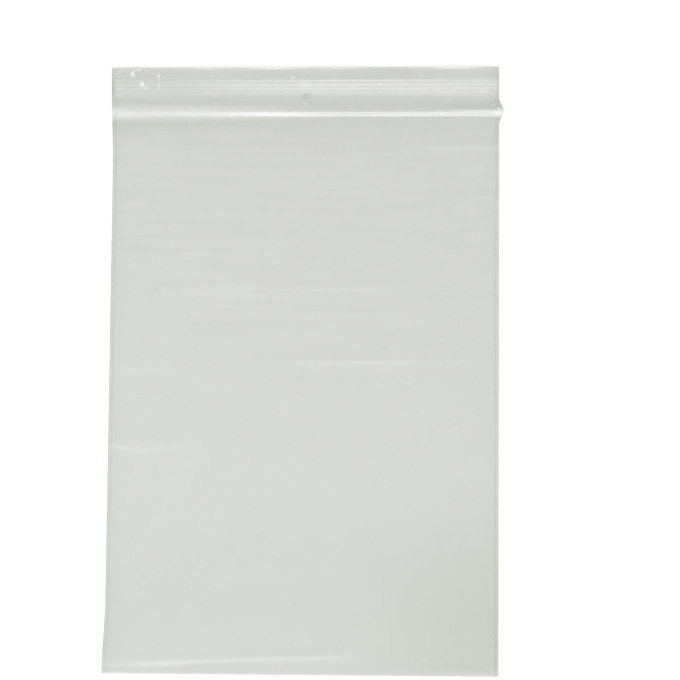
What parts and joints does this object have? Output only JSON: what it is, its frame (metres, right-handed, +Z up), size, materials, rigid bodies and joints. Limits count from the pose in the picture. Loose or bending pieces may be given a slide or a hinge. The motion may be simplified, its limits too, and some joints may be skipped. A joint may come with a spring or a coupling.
{
  "type": "zipper bag",
  "caption": "Flat press-to-close bag of clear plastic film with a rib-and-channel zip below the mouth, side welds and a folded foot.",
  "frame": {"origin": "centre of the bag's footprint, on the surface it lies on", "axes": "+Y along the bag towards the mouth, +X across it, +Z up through the film from back wall to front wall"},
  "size_m": [0.2024, 0.3102, 0.0024],
  "materials": {
    "film": "clear, slightly milky low-density polyethylene film with a soft gloss"
  },
  "bodies": {
    "root": {"bag": "film"}
  },
  "joints": []
}
